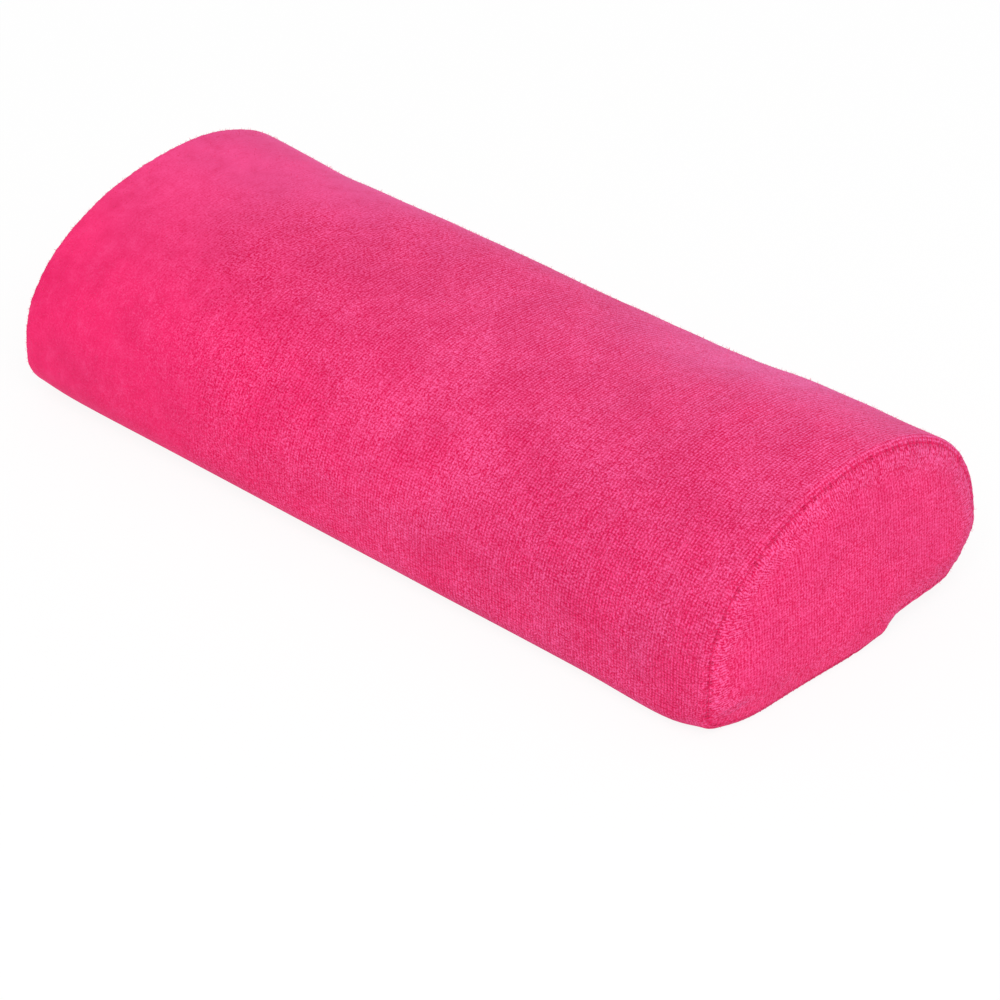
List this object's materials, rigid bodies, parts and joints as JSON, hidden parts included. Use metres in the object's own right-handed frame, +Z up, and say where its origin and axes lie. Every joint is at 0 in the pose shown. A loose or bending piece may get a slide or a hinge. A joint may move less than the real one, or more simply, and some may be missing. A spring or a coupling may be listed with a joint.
{
  "type": "manicure hand rest",
  "caption": "Half-column foam hand rest in a sewn looped-cloth cover, with a flat base that the cover laps under and a D-shaped panel at each end.",
  "frame": {"origin": "middle of the bottom of the bounding box, on the surface that the cushion rests on", "axes": "+X along the cushion, +Y from its front to its back, +Z up through its crown"},
  "size_m": [0.304, 0.124, 0.066],
  "materials": {
    "cover_cloth": "matt looped knit with a short pile",
    "end_cloth": "matt looped knit with a short pile",
    "foam": "open-cell foam"
  },
  "bodies": {
    "root": {"foam_core": "foam", "wrap_panel": "cover_cloth", "end_panel_left": "end_cloth", "end_panel_right": "end_cloth"}
  },
  "joints": []
}
